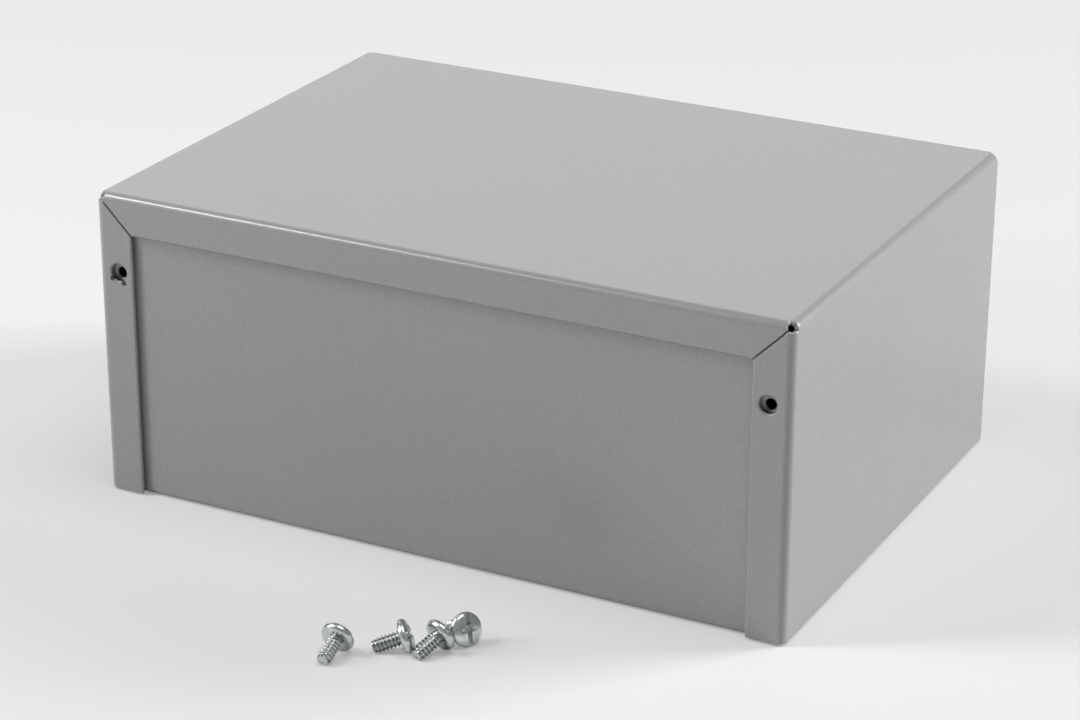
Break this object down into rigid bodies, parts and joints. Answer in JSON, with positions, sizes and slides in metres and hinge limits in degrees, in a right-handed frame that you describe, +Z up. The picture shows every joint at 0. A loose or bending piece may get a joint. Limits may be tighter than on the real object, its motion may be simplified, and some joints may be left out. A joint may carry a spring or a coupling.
{
  "type": "sheet-metal project box",
  "caption": "Two-piece sheet-metal project box: a plain folded base under a lift-off cover with mitred flanges and screw holes, its cover screws lying loose in front.",
  "frame": {"origin": "centre of the base's underside", "axes": "+X along the long front panel to the right, +Y to the rear, +Z up"},
  "size_m": [0.1778, 0.1813, 0.0766],
  "materials": {
    "base_enamel": "satin grey enamel on aluminium sheet",
    "cover_enamel": "satin grey enamel on aluminium sheet",
    "plated_steel": "bright zinc plate"
  },
  "bodies": {
    "base": {"base": "base_enamel", "cover_screw_1": "plated_steel", "cover_screw_2": "plated_steel", "cover_screw_3": "plated_steel", "cover_screw_4": "plated_steel"},
    "cover": {"cover": "cover_enamel"}
  },
  "joints": [
    {"name": "cover_lift", "type": "slide", "parent": "base", "child": "cover", "axis": [0, 0, 1], "range_m": [0, 0.1]}
  ]
}
